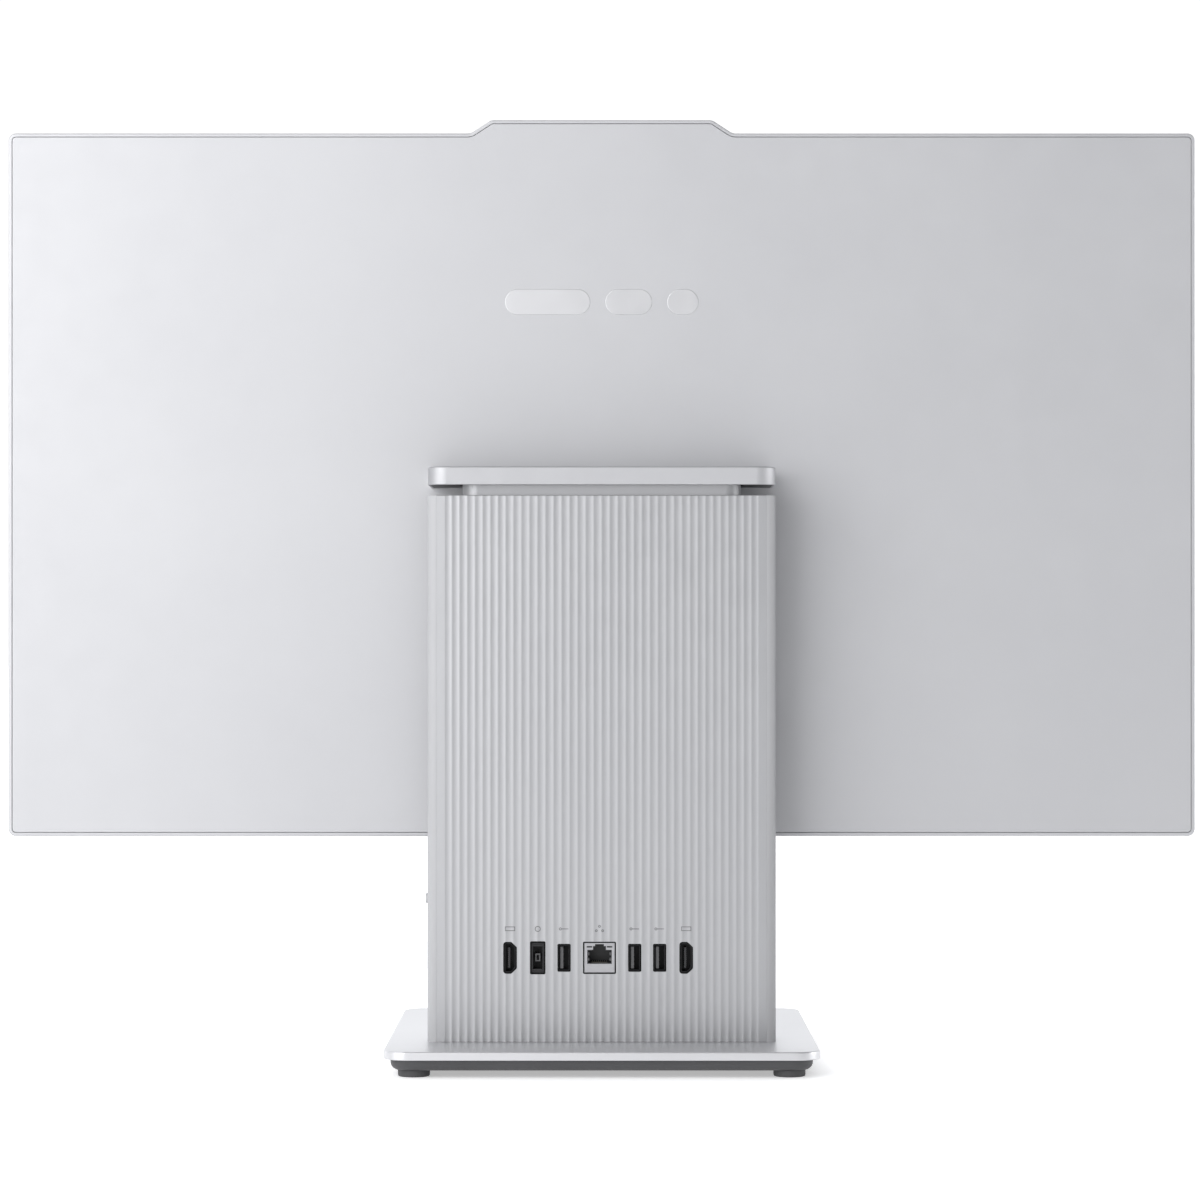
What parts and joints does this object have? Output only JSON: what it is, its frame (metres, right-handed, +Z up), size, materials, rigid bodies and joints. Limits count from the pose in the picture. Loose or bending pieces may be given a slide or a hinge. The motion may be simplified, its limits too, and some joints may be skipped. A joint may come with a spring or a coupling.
{
  "type": "all-in-one computer",
  "caption": "All-in-one desktop computer: a thin wide display tilts on top of a fluted tower that holds the computer and stands on a flat square base.",
  "frame": {"origin": "on the floor, under the centre of the base", "axes": "+X to the right hand of a person who looks at the screen, +Y towards the rear sockets, +Z up; the screen faces -Y"},
  "size_m": [0.6144, 0.225, 0.4859],
  "materials": {
    "housing": "satin",
    "base_paint": "satin",
    "dark_plastic": "satin",
    "rubber": "matte",
    "black_plastic": "satin",
    "bezel_plastic": "satin",
    "screen_glass": "gloss",
    "socket_metal": "satin",
    "badge_metal": "polished",
    "steel": "satin",
    "panel_aluminium": "satin",
    "copper": "satin",
    "circuit_board": "satin",
    "diffuser": "satin"
  },
  "bodies": {
    "stand": {"base_feet": "rubber", "base_tray": "dark_plastic", "base_weight": "steel", "base_plate": "base_paint", "base_screws": "steel", "tower_shell": "housing", "tower_rear_cover": "housing", "tower_front_cover": "housing", "tower_neck": "housing", "tower_chassis": "steel", "cover_screws": "steel", "motherboard": "circuit_board", "board_screws": "steel", "board_parts": "circuit_board", "processor": "steel", "cold_plate": "copper", "heat_pipes": "copper", "fin_stack": "panel_aluminium", "fan_housing": "black_plastic", "memory_modules": "circuit_board", "storage_module": "circuit_board", "radio_card": "circuit_board", "clock_battery": "steel", "speaker_left": "black_plastic", "speaker_right": "black_plastic", "io_gasket": "black_plastic", "video_socket_left": "black_plastic", "video_socket_right": "black_plastic", "power_inlet": "black_plastic", "network_socket": "socket_metal", "usb_socket_outer": "black_plastic", "usb_socket_inner": "black_plastic", "usb_socket_right": "black_plastic", "usb_socket_side": "socket_metal", "usb_c_socket": "socket_metal", "audio_jack": "black_plastic", "indicator_lenses": "diffuser", "button_switches": "black_plastic", "hinge_bracket_left": "steel", "hinge_bracket_right": "steel"},
    "fan": {"fan_impeller": "dark_plastic"},
    "power_key": {"power_button": "housing"},
    "input_key": {"input_button": "housing"},
    "shutter": {"camera_shutter": "dark_plastic"},
    "display": {"hinge_leaf_left": "steel", "hinge_leaf_right": "steel", "hinge_pins": "steel", "hinge_washers": "steel", "cap_shell": "housing", "cap_underplate": "dark_plastic", "leaf_screws": "steel", "display_frame": "housing", "display_rear_cover": "housing", "rear_badge": "badge_metal", "front_bezel": "bezel_plastic", "lcd_panel": "screen_glass", "backlight": "diffuser", "panel_chassis": "panel_aluminium", "display_bracket": "steel", "camera_module": "black_plastic"}
  },
  "joints": [
    {"name": "display_tilt", "type": "hinge", "parent": "stand", "child": "display", "pos_m": [0, 0.054, 0.2993], "axis": [-1, 0, 0], "range_deg": [-5, 20]},
    {"name": "shutter_slide", "type": "slide", "parent": "display", "child": "shutter", "axis": [-1, 0, 0], "range_m": [0, 0.0098]},
    {"name": "power_press", "type": "slide", "parent": "stand", "child": "power_key", "axis": [-1, 0, 0], "range_m": [0, 0.001], "stiffness_N_per_m": 600, "springref_m": -0.0005},
    {"name": "input_press", "type": "slide", "parent": "stand", "child": "input_key", "axis": [-1, 0, 0], "range_m": [0, 0.0008], "stiffness_N_per_m": 600, "springref_m": -0.0005},
    {"name": "fan_spin", "type": "hinge", "parent": "stand", "child": "fan", "pos_m": [-0.031, 0.054, 0.222], "axis": [0, 1, 0], "continuous": true}
  ]
}
